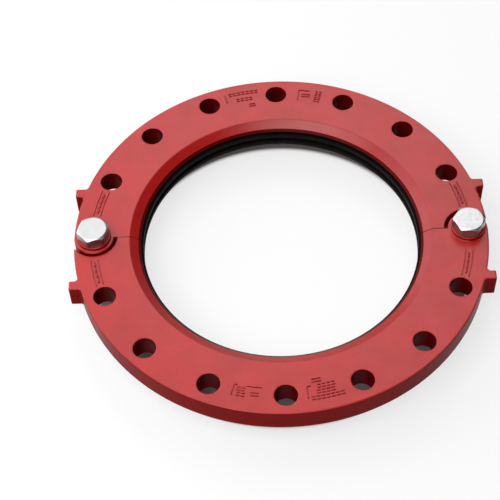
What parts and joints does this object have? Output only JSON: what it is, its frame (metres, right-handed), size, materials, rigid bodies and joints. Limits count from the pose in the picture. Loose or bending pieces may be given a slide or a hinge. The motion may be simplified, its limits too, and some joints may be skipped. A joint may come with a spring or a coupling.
{
  "type": "flange adaptor",
  "caption": "Split ring flange in two lapped castings with bolt holes, a keyed bore for grooved pipe, a rubber gasket in its pocket and a hexagon bolt through each lap.",
  "frame": {"origin": "centre of the bore on the mating face, which is also the gasket's sealing face", "axes": "+Z along the pipe, from the mating face to the back face and the bolt heads; +X to the right-hand lap bolt; +Y to the rear half"},
  "size_m": [0.525, 0.5198, 0.085],
  "materials": {
    "painted_casting": "semi-gloss red enamel on sand-cast ductile iron",
    "gasket_rubber": "moulded black rubber, matt",
    "zinc_fastener": "bright zinc plating"
  },
  "bodies": {
    "root": {"rear_half": "painted_casting", "front_half": "painted_casting", "gasket": "gasket_rubber", "left_bolt": "zinc_fastener", "right_bolt": "zinc_fastener", "left_washer": "zinc_fastener", "right_washer": "zinc_fastener", "left_nut": "zinc_fastener", "right_nut": "zinc_fastener"}
  },
  "joints": []
}
